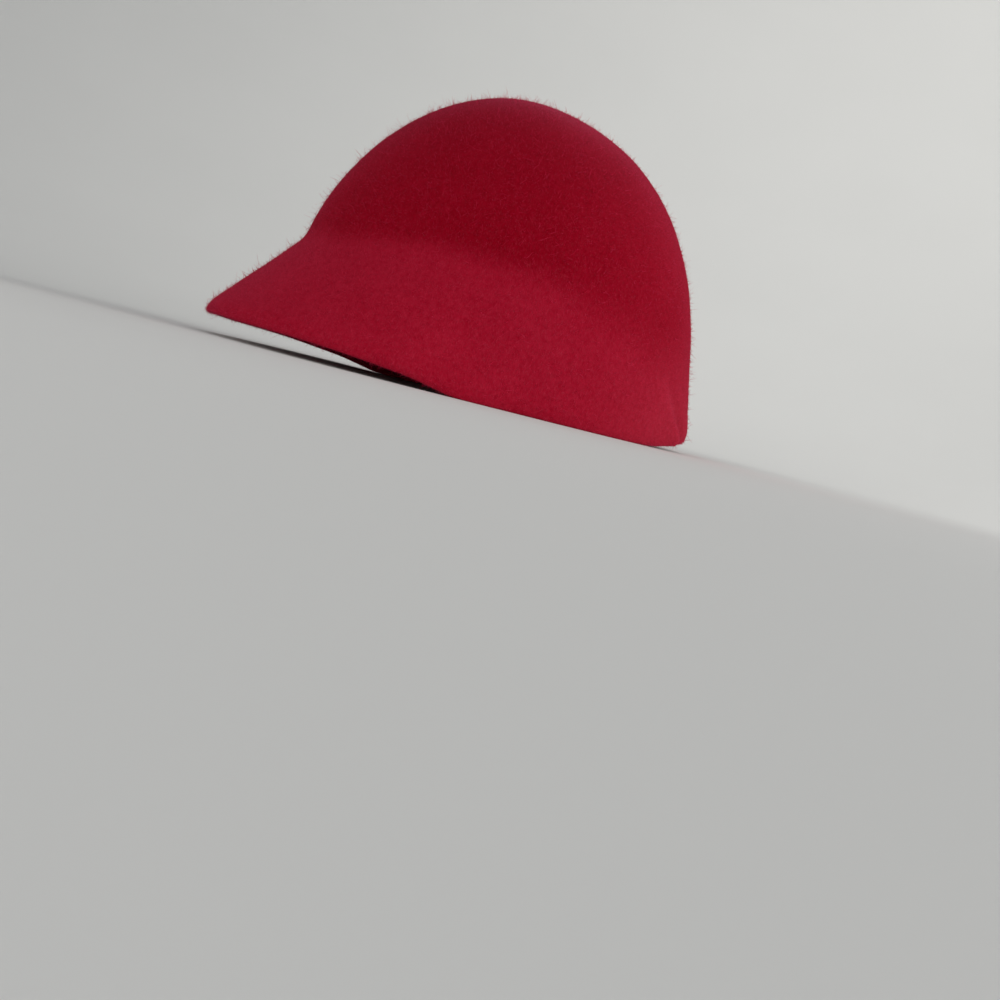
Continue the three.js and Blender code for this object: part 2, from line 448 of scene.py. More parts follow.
def paler_share_and_painted_light(angle, places):
    """How light the felt is: 1 with the lighter dyes, 0 with the deeper ones, raised by painted light on
    top and behind.
    """
    blur = PALER_BLUR + (PALER_BLUR_BEHIND - PALER_BLUR) * between(angle, *BLUR_WIDENS)
    border = column("paler_to", angle) * MM
    border = border + PALER_WANDER["height"] * wavy(places, PALER_WANDER["size"])
    paler_and_painted_light = eased(0.5 - (places[:, 2] - border) / (2 * blur))
    # Painted light: the felt is made lighter on top and behind.
    painted_light = PAINTED_LIGHT_SHARE["back"] * between(places[:, 1], *BACK_PAINTED_LIGHT_AND_WEAR)
    painted_light = painted_light + PAINTED_LIGHT_SHARE["top"] * between(places[:, 2], *PAINTED_LIGHT_TOP)
    return paler_and_painted_light + (1 - paler_and_painted_light) * painted_light


# Heights up to which the felt below the crease is lighter.
for angle in (0, 90, 180):
    print("at", angle, "degrees the iron stopped", column("paler_to", angle), "mm up")


# %% One column of the felt
def felt_column(section):
    """Points down the outer side, around the edge and up the inner side; how far each has
    turned inside, and how light its felt is, with painted light and shade."""
    whole = section.reach[-1]
    outer_at = np.concatenate([OUTER_ROWS, NEAR_EDGE + (whole - NEAR_EDGE) * OUTER_SHARES])[::-1]
    inner_at = np.concatenate([INNER_ROWS, NEAR_EDGE + (whole - NEAR_EDGE) * INNER_SHARES])
    outer, outer_normal = section.outside(outer_at)
    under, inner_normal = section.outside(inner_at)
    inner = under - inner_normal * felt_depth(section.turn, inner_at)[:, None]
    outer_normal[0] = inner_normal[-1] = (0, 1)
    inner[-1] = (0, HEIGHT - FELT_WALL)

    point, normal = outer[-1], outer_normal[-1]
    half = HEM_THICKNESS / 2
    out, down = edge_curve()
    edge = point + (out - half)[:, None] * normal + down[:, None] * np.array([normal[1], -normal[0]])
    outer = outer + (turned_under(-outer_at) - half)[:, None] * outer_normal

    flat = np.concatenate([outer, edge, inner])
    facing = np.concatenate([outer_normal, np.tile(normal, (len(edge), 1)), inner_normal])
    to_edge = np.concatenate([outer_at, np.zeros(len(edge)), inner_at])
    inside = np.concatenate([np.zeros(len(outer)), EDGE_TURNS / math.pi, np.ones(len(inner))])
    base = section.in_space(np.concatenate([outer, np.tile(point, (len(edge), 1)), under]))
    height = relief(section, to_edge, base)
    line = HEM_LINE["depth"] * np.exp(-(((to_edge - HEM_LINE["at"]) / HEM_LINE["width"]) ** 2))
    height = height - line * (inside == 0)
    places = section.in_space(flat) + section.direction(facing) * height[:, None]
    places[:, 2] = rested(places[:, 2])
    # Painted shade in the folds lowers the number, so the felt is darker there.
    paler_and_painted_light = paler_share_and_painted_light(section.angle, places) * (1 - folded(section, to_edge, "painted_shade"))
    return places, inside, paler_and_painted_light


sections = [Section(360 * i / COLUMNS) for i in range(COLUMNS)]
columns = [felt_column(section) for section in sections]
print("felt:", COLUMNS, "columns of", len(columns[0][0]), "points")

# %% [markdown]
# `felt_faces` joins neighbouring columns with quads. The first and the last row of the felt
# meet in one point each, the top of the crown outside and inside, so those are joined with
# triangles. `add_piece` makes the mesh and stores numbers on its points, which the fibres and
# the finishes read later: for the felt, whether a point is inside and how light it is, with painted
# light and shade.


# %% Make meshes from grids
def add_piece(name, points, faces, attributes=None):
    mesh = bpy.data.meshes.new(name)
    mesh.from_pydata(points, [], faces)
    mesh.validate()
    mesh.shade_smooth()
    for title, values in (attributes or {}).items():
        stored = mesh.attributes.new(title, "FLOAT", "POINT")
        stored.data.foreach_set("value", np.asarray(values, np.float32))
    piece = bpy.data.objects.new(name, mesh)
    bpy.context.scene.collection.objects.link(piece)
    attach(piece, "root")
    return piece


def triangles(piece):
    return sum(len(face.vertices) - 2 for face in piece.data.polygons)


def felt_faces(count, rows_each):
    """Quads between columns of a closed ring, with one shared point at each end of the columns."""
    top, bottom = count * (rows_each - 2), count * (rows_each - 2) + 1
    faces = []
    for i in range(count):
        here, there = i * (rows_each - 2), (i + 1) % count * (rows_each - 2)
        faces.append((top, here, there))
        for j in range(rows_each - 3):
            faces.append((here + j, here + j + 1, there + j + 1, there + j))
        last = rows_each - 3
        faces.append((here + last, bottom, there + last))
    return faces


print("faces of the felt:", len(felt_faces(COLUMNS, len(columns[0][0]))))


# %% The felt body
def add_felt():
    rows_each = len(columns[0][0])

    def joined(k):
        middle = np.concatenate([points[k][1:-1] for points in columns])
        ends = [columns[0][k][0], columns[0][k][-1]]
        return np.concatenate([middle, ends])

    stored = {"inside": joined(1), "paler_and_painted_light": joined(2)}
    felt = add_piece("cap_felt", joined(0), felt_faces(COLUMNS, rows_each), attributes=stored)
    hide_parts("felt_body")
    return felt


felt = add_felt()
print("felt:", triangles(felt), "triangles, from", min(v.co.z for v in felt.data.vertices) / MM, "mm up")

# %% [markdown]
# ## The ribbon
#
# The sweatband is a ribbed ribbon, 25 mm wide. It starts behind the right ear, runs around
# the head and ends on top of its own start, with the cut end folded under. It could be a
# plain strip with a striped bump, but its ribs make a saw edge that shows from below, so
# each rib is real: four columns of points to a rib, and the two long edges bulge at each.
#
# `ribbon_points` knows where the felt's inner side is, and puts points on the ribbon at one
# turn around the head: at shares of the way up its width, and lifted off the felt.

# %% Sizes of the ribbon
RIBBON_WIDTH = 25 * MM
RIBBON_THICKNESS = 0.7 * MM
RIBBON_GAP = 0.15 * MM  # to the felt behind it
RIBBON_EASING = 9 * MM  # over which it settles from the hem down onto the wall
RIBBON_TALLEST = 1.3  # limit to how much taller it stands where it climbs to the peak
OVERLAP_TURN = 238  # turn around the head where the overlap begins, in degrees
OVERLAP = 14 * MM
OVERLAP_RAMP = 4 * MM  # over which it climbs onto its own start
FOLDED_END = 8 * MM
FOLD_STEP = 1 * MM  # over which the folded end rises to two layers
EDGE_THINNING = {"depth": 0.35, "sharpness": 12}  # how it gets thinner along its woven edges
RIB = 1.3 * MM
COLUMNS_PER_RIB = 4
RIB_HEIGHT = 0.09 * MM
SCALLOP = 0.13 * MM  # how far the long edges bulge at each rib
PUCKER = {"height": 0.4 * MM, "size": 11 * MM, "up": 2}  # "up": waves over the ribbon's width
print("ribbon:", RIBBON_WIDTH / MM, "mm wide, with a rib every", RIB / MM, "mm")


# %% Where the ribbon lies
def climb_factor(section):
    """How much taller the ribbon stands where it climbs to the peak, to keep its true width."""
    reading = 3  # degrees to either side
    low, high = max(section.angle - reading, 0), min(section.angle + reading, 180)
    rise = (column("band_start", high) - column("band_start", low)) * MM
    run = math.radians(high - low) * section.radius
    return min(math.hypot(1, rise / run), RIBBON_TALLEST)


def ribbon_points(turn, shares, lifts):
    """Points on the ribbon at one turn around the head, and the way its face looks there."""
    section = Section(turn % 360)
    start = column("band_start", section.angle) * MM
    to_edge = start + RIBBON_WIDTH * climb_factor(section) * shares
    outer, normal = section.outside(to_edge)
    past = (to_edge - HEM_DEPTH - HEM_STEP) / RIBBON_EASING
    under = HEM_THICKNESS + (FELT_WALL - HEM_THICKNESS) * eased(past) + RIBBON_GAP
    flat = outer - normal * (under + lifts)[:, None]
    facing = section.direction(normal)
    moved = facing * relief(section, to_edge, section.in_space(outer))[:, None]
    return section.in_space(flat) + moved, -facing


climb = max(climb_factor(section) for section in sections)
print("where the ribbon climbs to the peak it stands up to", round(climb, 2), "times as tall")

# %% Measure the way around
TURNS = np.linspace(0, 360, 721)
middles = np.array([ribbon_points(turn, np.array([0.5]), np.zeros(1))[0][0] for turn in TURNS])
WAY_ROUND = lengths(middles)
HEAD_ROUND = WAY_ROUND[-1]
RIBBON_LENGTH = HEAD_ROUND + OVERLAP
FIRST = np.interp(OVERLAP_TURN, TURNS, WAY_ROUND)


def turn_at(along):
    """The turn around the head at a length from the ribbon's start."""
    return float(np.interp((FIRST + along) % HEAD_ROUND, WAY_ROUND, TURNS))


print(f"ribbon: {RIBBON_LENGTH / MM:.0f} mm long, on a head {HEAD_ROUND / MM:.0f} mm round")

# %% [markdown]
# One column of the ribbon is a loop: up the side that faces the head and down the side that
# faces the felt. The lift of each point adds up what happens to a real ribbon: its ribs, the
# slight puckers that come from sewing a straight ribbon into a round cap, and the climb onto
# its own start at the overlap.

# %% One column of the ribbon
FACE_SHARES = np.linspace(0, 1, 13)
BACK_SHARES = np.linspace(1, 0, 7)


def overlap_lift(along):
    """How far the ribbon's end is lifted, where it lies on its own start."""
    climbed = (along - HEAD_ROUND + OVERLAP_RAMP) / OVERLAP_RAMP
    return (RIBBON_THICKNESS + RIBBON_GAP) * eased(climbed)


def pucker(along, shares):
    """How far the ribbon stands off the felt: pinned below by the stitches, loose above."""
    spots = [Vector((along / PUCKER["size"], PUCKER["up"] * share, 9)) for share in shares]
    height = [max(noise.noise(spot), 0) for spot in spots]
    return PUCKER["height"] * np.array(height) * shares


def ribbon_column(along):
    rib = 0.5 + 0.5 * math.cos(2 * math.pi * along / RIB)
    over = overlap_lift(along)
    doubled = RIBBON_THICKNESS * eased((along - RIBBON_LENGTH + FOLDED_END) / FOLD_STEP)
    rounded = 1 - EDGE_THINNING["depth"] * (2 * FACE_SHARES - 1) ** EDGE_THINNING["sharpness"]
    face = over + doubled + RIBBON_THICKNESS * rounded + RIB_HEIGHT * rib + pucker(along, FACE_SHARES)
    back = over - RIB_HEIGHT * rib + pucker(along, BACK_SHARES)
    shares = np.concatenate([FACE_SHARES, BACK_SHARES])
    bulge = SCALLOP * rib / RIBBON_WIDTH
    shares = np.where(shares == 0, -bulge, np.where(shares == 1, 1 + bulge, shares))
    return ribbon_points(turn_at(along), shares, np.concatenate([face, back]))[0]


print("one column of the ribbon has", len(ribbon_column(0)), "points")


# %% The ribbon
def strip_faces(count, loop):
    """Quads between columns of a strip whose section is a loop, and a face on each cut end."""
    faces = [tuple(range(loop)), tuple(range(count * loop - 1, (count - 1) * loop - 1, -1))]
    for i in range(count - 1):
        for j in range(loop):
            k = (j + 1) % loop
            faces.append((i * loop + j, (i + 1) * loop + j, (i + 1) * loop + k, i * loop + k))
    return faces


def add_ribbon():
    count = int(RIBBON_LENGTH / RIB * COLUMNS_PER_RIB) + 1
    alongs = np.linspace(0, RIBBON_LENGTH, count)
    loops = [ribbon_column(along) for along in alongs]
    loop = len(loops[0])
    stored = {"along": np.repeat(alongs, loop)}
    ribbon = add_piece("cap_ribbon", np.concatenate(loops), strip_faces(count, loop), attributes=stored)
    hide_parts("sweatband")
    return ribbon


ribbon = add_ribbon()
print("ribbon:", triangles(ribbon), "triangles")

# %% [markdown]
# ## The stitches
#
# The ribbon is held by one row of running stitches near its lower edge. Each stitch is a
# short thread that comes out of the ribbon, bows a little and goes back in. Bump would show
# them too, but not from the side, so each is a small tube. All of them are joined into one
# mesh from arrays, which is far quicker than one object for each.

# %% The stitches
STITCH = {
    "length": 2.9 * MM,
    "pitch": 4.6 * MM,
    "radius": 0.19 * MM,
    "bow": 0.34 * MM,
    "sunk": 0.1 * MM,  # how deep its ends lie in the ribbon
    "first": 1 * MM,  # from the ribbon's start
}
STITCH_SHARE = 0.07  # how far up the ribbon's width the row runs
STITCH_POINTS = 6
TUBE_SIDES = 6


def tube(centres, facing, radius):
    """Points of a tube around a line of centres, with its faces; the ends are closed."""
    forward = unit(np.gradient(centres, axis=0))
    side = unit(np.cross(forward, facing))
    up = np.cross(side, forward)
    turns = np.linspace(0, 2 * math.pi, TUBE_SIDES, endpoint=False)[None, :, None]
    around = side[:, None] * np.cos(turns) + up[:, None] * np.sin(turns)
    points = (centres[:, None] + radius * around).reshape(-1, 3)
    return points, strip_faces(len(centres), TUBE_SIDES)


def stitch_line(along):
    """The line of one stitch, and the way the ribbon faces there."""
    centres, facings = [], []
    for step in np.linspace(0, 1, STITCH_POINTS):
        here = along + STITCH["length"] * step
        lift = RIBBON_THICKNESS - STITCH["sunk"] + STITCH["bow"] * math.sin(math.pi * step)
        lift += overlap_lift(here)
        spot, facing = ribbon_points(turn_at(here), np.array([STITCH_SHARE]), np.array([lift]))
        centres.append(spot[0])
        facings.append(facing[0])
    return np.array(centres), np.array(facings)


def add_stitches():
    points, faces, count = [], [], 0
    for i in range(int((RIBBON_LENGTH - STITCH["length"]) / STITCH["pitch"])):
        centres, facing = stitch_line(STITCH["first"] + STITCH["pitch"] * i)
        some, theirs = tube(centres, facing, STITCH["radius"])
        points.append(some)
        faces += [tuple(corner + count for corner in face) for face in theirs]
        count += len(some)
    stitches = add_piece("ribbon_stitches", np.concatenate(points), faces)
    return stitches


stitches = add_stitches()
print("stitches:", triangles(stitches), "triangles")

# %% [markdown]
# ## Loose wool fibres
#
# Wool felt is never bald. Fine fibres lie over it as a nap, short stubble stands up, and a
# few long fibres stand off, so the outline of the cap is soft against a pale wall. The turned
# edge is the most worn and the fuzziest. Blender's hair could grow them, but a hair system is
# heavy and doesn't leave with the model. Here each fibre is a thin ribbon of two to four
# quads, and thousands of them are worked out at once in arrays.
#
# The roots are picked over the felt's faces, more of them on larger faces, with a random
# generator that starts from a fixed seed, so the cap is the same every time.


# %% Roots of the fibres
def felt_skin(piece):
    """Corner points, normals and areas of the felt's faces, and how far inside they are."""
    mesh = piece.data
    corners = [[mesh.vertices[i].co for i in face.vertices][:4] for face in mesh.polygons]
    corners = np.array([c if len(c) == 4 else [*c, c[2]] for c in corners], float)
    normals = np.array([face.normal for face in mesh.polygons])
    areas = np.array([face.area for face in mesh.polygons])
    inside = np.zeros(len(mesh.vertices), np.float32)
    mesh.attributes["inside"].data.foreach_get("value", inside)
    first = np.array([face.vertices[1] for face in mesh.polygons])
    return corners, normals, areas, inside[first]


skin = felt_skin(felt)
print("felt's skin:", round(skin[2].sum() * 10000), "square centimetres, both sides")


def roots(rng, count, where):
    """Random places on the faces that `where` picks, and the normals there."""
    corners, normals, areas, inside = skin
    chance = areas * where(inside)
    picked = rng.choice(len(areas), count, p=chance / chance.sum())
    u, v = rng.random((2, count, 1))
    a, b, c, d = corners[picked].transpose(1, 0, 2)
    return (1 - v) * ((1 - u) * a + u * d) + v * ((1 - u) * b + u * c), normals[picked]


# %% Grow the fibres
WORN_BEHIND = 0.25  # how much shorter the fibres are towards the back
SHORTER = 2.5  # the higher, the more of the fibres are short ones
STAND_TURN = 3.0  # a fibre that lies down lies on its flat side, one that stands faces anywhere
UNEVEN = (0.7, 1.3)  # the thinnest and the thickest fibre, against the middle one
TAPER = 0.6  # how much thinner a fibre is at its tip
ROOT_DEPTH = 0.05 * MM
CLEARANCE = 0.02 * MM  # above the ground, for fibres under the edge


def add_fibres(name, seed, count, where, length, lift, thickness, curl, joints):
    """Fibres as thin ribbons: `length` and `lift` are (least, most), lift in degrees off the felt."""
    rng = np.random.default_rng(seed)
    root, normal = roots(rng, count, where)
    aside = unit(np.cross(normal, rng.normal(size=(count, 3))))
    reach = (length[0] + (length[1] - length[0]) * rng.random(count) ** SHORTER)[:, None]
    reach = reach * (1 - WORN_BEHIND * between(root[:, 1:2], *BACK_PAINTED_LIGHT_AND_WEAR))
    rise = np.radians(rng.uniform(*lift, count))[:, None]
    forward = normal * np.sin(rise) + aside * np.cos(rise)
    bend = unit(rng.normal(size=(count, 3))) * curl
    flat = unit(np.cross(forward, normal + STAND_TURN * np.sin(rise) * rng.normal(size=(count, 3))))
    half = thickness / 2 * rng.uniform(*UNEVEN, (count, 1))
    steps = np.linspace(0, 1, joints)
    lines = [root - ROOT_DEPTH * normal + reach * step * (forward + bend * step) for step in steps]
    widths = [half * (1 - TAPER * step) for step in steps]
    points = np.stack([p + s * flat * w for p, w in zip(lines, widths) for s in (-1, 1)], 1)
    points[:, :, 2] = np.maximum(points[:, :, 2], CLEARANCE)
    each = 2 * joints
    base = np.arange(count)[:, None, None] * each
    quads = np.array([[2 * j, 2 * j + 1, 2 * j + 3, 2 * j + 2] for j in range(joints - 1)])
    faces = (base + quads[None]).reshape(-1, 4).tolist()
    fibres = add_piece(name, points.reshape(-1, 3), faces)
    return fibres


print(f"behind, the fibres are {WORN_BEHIND:.0%} shorter")


# %% Kinds of fibres
TURNED_IN = 0.8  # from 0 outside to 1 inside, where the inner side begins
ROUNDED = (0.05, 0.95)  # the edge between the two sides


def outside(inside):
    return inside < TURNED_IN


def around_edge(inside):
    return (inside > ROUNDED[0]) * (inside < ROUNDED[1])


def within(inside):
    return inside > TURNED_IN


def kind(name, seed, count, where, length, lift, thickness, curl, joints):
    """One row of the table below: lengths and thicknesses in millimetres, lift in degrees."""
    length = (length[0] * MM, length[1] * MM)
    return add_fibres(name, seed, count, where, length, lift, thickness * MM, curl, joints)


fibres = [
    kind("loose_fibres", 11, 13000, outside, (1.1, 5.2), (20, 80), 0.13, curl=0.3, joints=5),
    kind("stubble", 14, 34000, outside, (0.8, 2.0), (25, 80), 0.09, curl=0.3, joints=3),
    kind("nap_outside", 12, 20000, outside, (0.9, 2.6), (3, 14), 0.07, curl=0.15, joints=4),
    kind("edge_fuzz", 15, 8000, around_edge, (0.7, 1.8), (25, 85), 0.08, curl=0.3, joints=3),
    kind("nap_inside", 13, 9000, within, (1.0, 3.0), (4, 22), 0.07, curl=0.15, joints=4),
]
print("fibres:", [triangles(piece) for piece in fibres], "triangles")

# %% [markdown]
# ## A small workshop for finishes
#
# A finish is a material whose nodes make its colour, its roughness and its fine bumps from
# the place on the cap, with no pictures. Nodes can be wired by hand, one by one. Two small
# classes make that readable: `Finish` adds any node with its settings and inputs in one
# call, and `Value` lets numbers that change over the surface be added and multiplied as
# plain numbers are.


# %% Node workshop
class Value:
    """A number that changes over a surface. Sums on it add Math nodes."""

    def __init__(self, finish, socket):
        self.finish = finish
        self.socket = socket

    def __add__(self, other):
        return self.finish.math("ADD", self, other)

    def __sub__(self, other):
        return self.finish.math("SUBTRACT", self, other)

    def __rsub__(self, other):
        return self.finish.math("SUBTRACT", other, self)

    def __mul__(self, other):
        return self.finish.math("MULTIPLY", self, other)

    __radd__ = __add__
    __rmul__ = __mul__

    def between(self, low, high):
        """0 up to `low`, 1 from `high` on, and smooth in between."""
        values = {"Value": self, "From Min": low, "From Max": high}
        made = self.finish.node("ShaderNodeMapRange", {"interpolation_type": "SMOOTHSTEP"}, values)
        return Value(self.finish, made.outputs[0])


GLOWING_SHARE = 0.5  # how much of a thin piece's surface lets light through


class Finish:
    """A material and the nodes that make it."""

    def __init__(self, name):
        self.material = bpy.data.materials.new(name)
        self.material.use_nodes = True
        self.tree = self.material.node_tree
        self.tree.nodes.clear()

    def node(self, kind, settings=None, values=None):
        """Adds a node: first its settings, then its inputs, each a number, colour or link."""
        made = self.tree.nodes.new(kind)
        for name, setting in (settings or {}).items():
            setattr(made, name, setting)
        for name, value in (values or {}).items():
            self.feed(made.inputs[name], value)
        return made

    def feed(self, socket, value):
        value = value.socket if isinstance(value, Value) else value
        if isinstance(value, bpy.types.NodeSocket):
            self.tree.links.new(value, socket)
        else:
            socket.default_value = value

    def math(self, operation, *numbers):
        made = self.node("ShaderNodeMath", {"operation": operation}, dict(enumerate(numbers)))
        return Value(self, made.outputs[0])

    def place(self, size=(1, 1, 1), turn=(0, 0, 0)):
        """The place on the cap, turned, and divided by the size of a pattern in metres."""
        spot = self.node("ShaderNodeTexCoord").outputs["Object"]
        values = {"Vector": spot, "Rotation": turn, "Scale": [1 / s for s in size]}
        return self.node("ShaderNodeMapping", None, values).outputs[0]

    def clouds(self, size, turn=(0, 0, 0), detail=2.0):
        """Soft noise around 0.5, with features of about that size along each axis."""
        size = size if isinstance(size, tuple) else (size, size, size)
        values = {"Vector": self.place(size, turn), "Scale": 1.0, "Detail": detail}
        return Value(self, self.node("ShaderNodeTexNoise", None, values).outputs["Fac"])

    def stored(self, title):
        found = self.node("ShaderNodeAttribute", {"attribute_name": title})
        return Value(self, found.outputs["Fac"])

    def blend(self, factor, first, second):
        """Two colours mixed. The Mix node has its colours in sockets 6 and 7."""
        values = {0: factor, 6: first, 7: second}
        return self.node("ShaderNodeMix", {"data_type": "RGBA"}, values).outputs[2]

    def bump(self, height, depth, strength):
        """The normal of a surface whose height runs over that depth, in metres."""
        values = {"Height": height, "Distance": depth, "Strength": strength}
        return self.node("ShaderNodeBump", None, values).outputs[0]

    def surface(self, glow=None, **values):
        """Ends the material in the general-purpose shader. Underscores stand for spaces.

        A piece that is thin enough to glow gives `glow`, the colour of light that comes through.
        """
        named = {name.replace("_", " "): value for name, value in values.items()}
        shader = self.node("ShaderNodeBsdfPrincipled", None, named)
        if glow:
            through = self.node("ShaderNodeBsdfTranslucent", None, {"Color": glow})
            parts = {0: GLOWING_SHARE, 1: shader.outputs[0], 2: through.outputs[0]}
            shader = self.node("ShaderNodeMixShader", None, parts)
        self.node("ShaderNodeOutputMaterial", None, {"Surface": shader.outputs[0]})
        return self.material


# %% [markdown]
# ## The finish of the felt
#
# Close up, wool felt is a mat of fibres that cross each other every way. Four noises, each
# stretched along another direction, look like four layers of such fibres. Softer noises
# under them make the colour uneven, as dyed wool is. Thin streaks of a fifth noise are paler
# fibres in the mat. Low at the back, a paler wash is painted sheen. A few pale specks are
# lint. All of them are set from the place on the cap, so nothing swims or pinches at the
# crown's top.
#
# There are two sets of dye colours, a deeper one for the crown and a lighter one for the
# peak and side, mixed by the number that is stored on the points. That number also carries
# painted light on top and behind, and painted shade in the folds. The light rim of felt comes
# from the sheen of the shader, not from paint.

# %% Dyes of the felt
DEEP_CRIMSON = (0.174, 0.0003, 0.0046, 1)
CRIMSON = (0.221, 0.0006, 0.0076, 1)
PALE_CRIMSON = (0.28, 0.0033, 0.0160, 1)
# The lighter pair, below the crease; it also gives the painted light on top and behind.
PALER_FELT_DEEP = (0.268, 0.0021, 0.0132, 1)
PALER_FELT = (0.345, 0.0083, 0.0266, 1)
# The pale colour of fibre streaks, also used for the painted sheen low at the back.
PALE_FIBRE_AND_SHEEN = (0.60, 0.14, 0.19, 1)
LINT = (0.50, 0.16, 0.20, 1)
MOTTLE = 2.2 * MM  # size of the small patches of darker and lighter dye
BROAD = 26 * MM  # size of the large ones
UNEVEN_DYE = {"fibres": 1.6, "mottle": 0.8, "broad": 0.35}  # how much each noise moves the tone
TONES = {"crimson": (0.1, 0.55), "pale": (0.5, 0.95), "paler_and_painted_light": (0.1, 0.9)}  # over which dyes change


def dyed(finish, mat, mottle):
    """The two dyes, deeper and lighter, mixed by the stored number, which also carries painted light and
    shade.
    """
    broad = finish.clouds(BROAD, detail=1)
    tone = (mat - 0.5) * UNEVEN_DYE["fibres"] + (mottle - 0.5) * UNEVEN_DYE["mottle"]
    tone = tone + (broad - 0.5) * UNEVEN_DYE["broad"] + 0.5
    deeper_felt = finish.blend(tone.between(*TONES["crimson"]), DEEP_CRIMSON, CRIMSON)
    deeper_felt = finish.blend(tone.between(*TONES["pale"]), deeper_felt, PALE_CRIMSON)
    # The lighter dyes, which the stored number picks below the crease, and also for painted light on top
    # and behind.
    flat = finish.blend(tone.between(*TONES["paler_and_painted_light"]), PALER_FELT_DEEP, PALER_FELT)
    return finish.blend(finish.stored("paler_and_painted_light"), deeper_felt, flat)


print("the felt has two sets of dyes, from", DEEP_CRIMSON[0], "to", PALER_FELT[0], "of red")

# %% Fibres in the mat
MAT_FIBRE = (0.38 * MM, 0.38 * MM, 2.0 * MM)
MAT_TURNS = [(0.3, 0.2, 0.1), (1.4, 0.4, 0.3), (0.3, 1.2, 0.9), (0.9, -0.9, 2.0)]
STREAK = (0.3 * MM, 0.3 * MM, 1.6 * MM)
STREAK_TURN = (0.8, 0.5, 1.3)
PALE_FIBRE_AND_SHEEN_SHARE = {"streaks": 0.088, "painted_sheen": 0.06}  # how far each goes towards the pale colour: streaks as pale fibres, the wash as painted sheen
PAINTED_SHEEN_BACK = (20 * MM, 110 * MM)  # where the painted sheen starts and is full, towards the back
PAINTED_SHEEN_UP = (5 * MM, 65 * MM)  # up to where it is full, and where it ends


def fibre_mat(finish):
    """Layers of fine fibres that cross each other, as one height around 0.5."""
    layers = [finish.clouds(MAT_FIBRE, turn) for turn in MAT_TURNS]
    return sum(layers[1:], layers[0]) * (1 / len(layers))


def pale_fibres_and_painted_sheen(finish):
    """How much the pale colour shows: streaks of pale fibres all over, and a wash of painted sheen low
    at the back.
    """
    streaks = finish.clouds(STREAK, STREAK_TURN, detail=1).between(0.5, 0.8)
    spot = finish.node("ShaderNodeSeparateXYZ", None, {0: finish.place()})
    # The wash low at the back is painted sheen.
    back = Value(finish, spot.outputs["Y"]).between(*PAINTED_SHEEN_BACK)
    high = Value(finish, spot.outputs["Z"]).between(*PAINTED_SHEEN_UP)
    return streaks * PALE_FIBRE_AND_SHEEN_SHARE["streaks"] + back * (1 - high) * PALE_FIBRE_AND_SHEEN_SHARE["painted_sheen"]


print("layers of fibres in the mat:", len(MAT_TURNS))

# %% Felt
LINT_CELL = 7 * MM  # the felt is split into cells of this size, and a few of them hold lint
LINT_CHANCE = (0.9, 0.92)  # a cell whose random number is above these holds a speck
LINT_RADIUS = (0.02, 0.05)  # from full to none, in cells
LINT_STRENGTH = 0.7
FELT_BUMP = {"depth": 0.3 * MM, "strength": 0.7}
SHEEN_PINK = (1.0, 0.24, 0.42, 1)


def lint(finish):
    """A small round speck in a few of the cells."""
    values = {"Vector": finish.place((LINT_CELL,) * 3), "Scale": 1.0}
    cells = finish.node("ShaderNodeTexVoronoi", None, values)
    chosen = Value(finish, cells.outputs["Color"]).between(*LINT_CHANCE)
    speck = 1 - Value(finish, cells.outputs["Distance"]).between(*LINT_RADIUS)
    return chosen * speck * LINT_STRENGTH


def felt_finish():
    finish = Finish("wool_felt")
    mat = fibre_mat(finish)
    mottle = finish.clouds(MOTTLE)
    colour = finish.blend(pale_fibres_and_painted_sheen(finish), dyed(finish, mat, mottle), PALE_FIBRE_AND_SHEEN)
    return finish.surface(
        Base_Color=finish.blend(lint(finish), colour, LINT),
        Roughness=0.94 - (mat - 0.5) * 0.2,
        Specular_IOR_Level=0.0,
        Sheen_Weight=0.20,
        Sheen_Roughness=0.4,
        Sheen_Tint=SHEEN_PINK,
        Normal=finish.bump(mat + mottle * 0.8, **FELT_BUMP),
    )


felt.data.materials.append(felt_finish())
print("felt finish:", len(felt.data.materials[0].node_tree.nodes), "nodes")

# %% [markdown]
# ## The finish of the fibres
#
# A single fibre of wool is as thin as a hair, and light comes through it. Against a bright
# wall the fibres along the outline therefore glow, more pink than the felt they grow from.
# Making them paler would do that too, but it would also make them stand out where there is
# only dark felt behind them. So half of each fibre is a common matt surface and half is a
# translucent one, which takes its light from the far side.

# %% Fibres
LOOSE = (0.37, 0.006, 0.024, 1)
LOOSE_PALE = (0.53, 0.030, 0.074, 1)
NAP = (0.35, 0.0055, 0.028, 1)
NAP_PALE = (0.51, 0.048, 0.100, 1)
GLOW = (0.75, 0.050, 0.14, 1)
PATCH = 1.2 * MM  # size of the patches in which the fibres are paler or deeper


def fibre_finish(name, deep, pale):
    finish = Finish(name)
    tone = finish.clouds(PATCH, detail=1)
    colour = finish.blend(tone.between(0.3, 0.7), deep, pale)
    return finish.surface(glow=GLOW, Base_Color=colour, Roughness=0.8, Specular_IOR_Level=0.0)


nap = fibre_finish("wool_nap", NAP, NAP_PALE)
loose = fibre_finish("loose_wool", LOOSE, LOOSE_PALE)
for piece in fibres:
    piece.data.materials.append(loose if piece.name == "loose_fibres" else nap)
print("fibres:", [(piece.name, piece.data.materials[0].name) for piece in fibres])

# %% [markdown]
# ## The finish of the ribbon and the thread
#
# Grosgrain has a smooth warp over thick ribs, so it is a little shinier than felt. The ribs
# are real; the finish adds the fine threads that cross them, and painted shade between the ribs.

